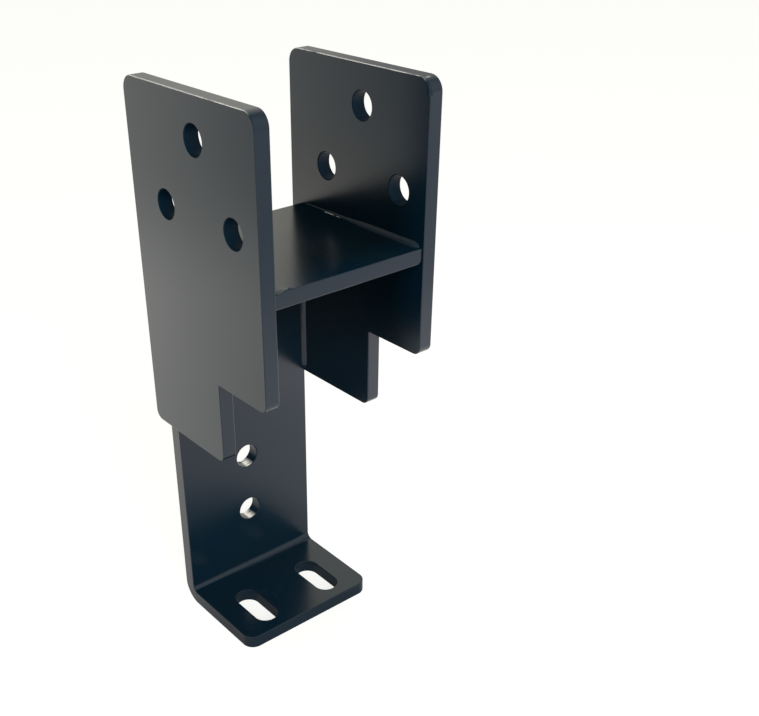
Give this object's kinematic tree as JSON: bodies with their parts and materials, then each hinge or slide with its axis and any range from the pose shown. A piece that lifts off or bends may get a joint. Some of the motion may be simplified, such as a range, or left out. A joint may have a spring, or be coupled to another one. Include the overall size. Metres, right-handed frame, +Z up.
{
  "type": "container roof bracket",
  "caption": "Welded steel saddle bracket: stepped side plates and a saddle plate hold a roof timber above a folded strap with a slotted foot.",
  "frame": {"origin": "centre of the bracket's plan at the height of the foot's sole, so that the bracket stands on z = 0", "axes": "+X across from the left side plate to the right one, +Y from the open front to the strap, +Z up"},
  "size_m": [0.106, 0.106, 0.315],
  "materials": {
    "coated_plate": "satin black coat on 8 mm steel plate",
    "coated_weld": "satin black coat over ground weld beads"
  },
  "bodies": {
    "root": {"left_side_plate": "coated_plate", "right_side_plate": "coated_plate", "saddle_plate": "coated_plate", "hanger_strap": "coated_plate", "saddle_weld_left": "coated_weld", "saddle_weld_right": "coated_weld", "saddle_weld_back": "coated_weld", "strap_weld_left": "coated_weld", "strap_weld_right": "coated_weld"}
  },
  "joints": []
}
